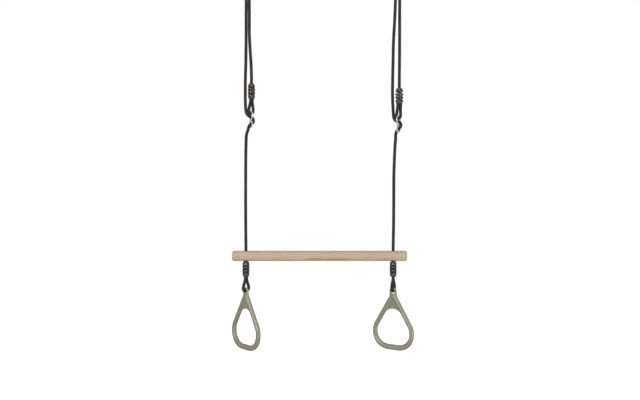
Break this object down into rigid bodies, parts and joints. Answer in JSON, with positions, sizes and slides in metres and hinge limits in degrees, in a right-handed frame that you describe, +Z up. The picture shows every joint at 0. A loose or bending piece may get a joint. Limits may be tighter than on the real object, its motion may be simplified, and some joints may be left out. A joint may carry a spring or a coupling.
{
  "type": "trapeze bar with gym rings",
  "caption": "Hanging trapeze: a round beech bar on two adjustable ropes, with a moulded hand ring below each end of the bar.",
  "frame": {"origin": "midway between the points where two hooks carry the hanging rings, at the inner top of the rings' bores", "axes": "+Z up, X along the bar, -Y towards the viewer of the picture"},
  "size_m": [0.6076, 0.1122, 1.2871],
  "materials": {
    "beech": "smooth, lightly oiled",
    "rope": "braided",
    "sleeve": "moulded, semi-gloss",
    "steel": "zinc plated",
    "ring": "moulded, satin"
  },
  "bodies": {
    "hanging_rings": {"left_hanging_ring": "steel", "right_hanging_ring": "steel"},
    "rope_tops": {"left_rope_top_bend": "rope", "right_rope_top_bend": "rope"},
    "left_strands": {"left_rope_eye_strand": "rope", "left_rope_running_strand": "rope"},
    "right_strands": {"right_rope_eye_strand": "rope", "right_rope_running_strand": "rope"},
    "left_height_lock": {"left_adjuster": "steel", "left_upper_sleeve": "sleeve", "left_rope_upper_eye": "rope", "left_rope_adjuster_run": "rope"},
    "right_height_lock": {"right_adjuster": "steel", "right_upper_sleeve": "sleeve", "right_rope_upper_eye": "rope", "right_rope_adjuster_run": "rope"},
    "left_lower_rope": {"left_rope_drop": "rope"},
    "right_lower_rope": {"right_rope_drop": "rope"},
    "crossbar": {"bar": "beech", "left_rope_in_bar": "rope", "right_rope_in_bar": "rope"},
    "left_ring_hanger": {"left_lower_sleeve": "sleeve", "left_rope_lower_eye": "rope"},
    "right_ring_hanger": {"right_lower_sleeve": "sleeve", "right_rope_lower_eye": "rope"},
    "left_hand_ring": {"left_gym_ring": "ring"},
    "right_hand_ring": {"right_gym_ring": "ring"}
  },
  "joints": [
    {"name": "swing", "type": "hinge", "parent": "hanging_rings", "child": "rope_tops", "pos_m": [0, 0, -0.019], "axis": [1, 0, 0], "range_deg": [-60, 60]},
    {"name": "left_sway", "type": "hinge", "parent": "rope_tops", "child": "left_strands", "pos_m": [-0.24, 0, -0.0415], "axis": [0, 1, 0], "range_deg": [-30, 30]},
    {"name": "right_sway", "type": "hinge", "parent": "rope_tops", "child": "right_strands", "pos_m": [0.2585, 0, -0.0415], "axis": [0, 1, 0], "range_deg": [-30, 30]},
    {"name": "left_adjust", "type": "slide", "parent": "left_strands", "child": "left_height_lock", "axis": [0, 0, 1], "range_m": [-0.15, 0.25], "deforming": ["left_rope_eye_strand", "left_rope_running_strand"]},
    {"name": "right_adjust", "type": "slide", "parent": "right_strands", "child": "right_height_lock", "axis": [0, 0, 1], "range_m": [-0.15, 0.25], "deforming": ["right_rope_eye_strand", "right_rope_running_strand"]},
    {"name": "left_drop_slide", "type": "slide", "parent": "left_height_lock", "child": "left_lower_rope", "axis": [0, 0, 1], "range_m": [-0.5, 0.3], "deforming": ["left_rope_drop"]},
    {"name": "right_drop_slide", "type": "slide", "parent": "right_height_lock", "child": "right_lower_rope", "axis": [0, 0, 1], "range_m": [-0.5, 0.3], "deforming": ["right_rope_drop"]},
    {"name": "bar_level", "type": "hinge", "parent": "left_lower_rope", "child": "crossbar", "pos_m": [-0.245, 0, -0.95], "axis": [0, 1, 0], "range_deg": [-30, 30]},
    {"name": "left_ring_turn", "type": "hinge", "parent": "crossbar", "child": "left_ring_hanger", "pos_m": [-0.245, 0, -0.9843], "axis": [0, 0, 1], "range_deg": [-180, 180]},
    {"name": "right_ring_turn", "type": "hinge", "parent": "crossbar", "child": "right_ring_hanger", "pos_m": [0.245, 0, -0.9843], "axis": [0, 0, 1], "range_deg": [-180, 180]},
    {"name": "left_ring_swing", "type": "hinge", "parent": "left_ring_hanger", "child": "left_hand_ring", "pos_m": [-0.245, 0, -1.0751], "axis": [0.6884, -0.7254, 0], "range_deg": [-90, 90]},
    {"name": "right_ring_swing", "type": "hinge", "parent": "right_ring_hanger", "child": "right_hand_ring", "pos_m": [0.245, 0, -1.0751], "axis": [0.848, -0.5299, 0], "range_deg": [-90, 90]}
  ],
  "couplings": [
    {"joint": "right_sway", "follows": "left_sway", "ratio": 1},
    {"joint": "bar_level", "follows": "left_sway", "ratio": -1},
    {"joint": "right_adjust", "follows": "left_adjust", "ratio": 1},
    {"joint": "left_drop_slide", "follows": "left_adjust", "ratio": -2},
    {"joint": "right_drop_slide", "follows": "left_adjust", "ratio": -2}
  ]
}
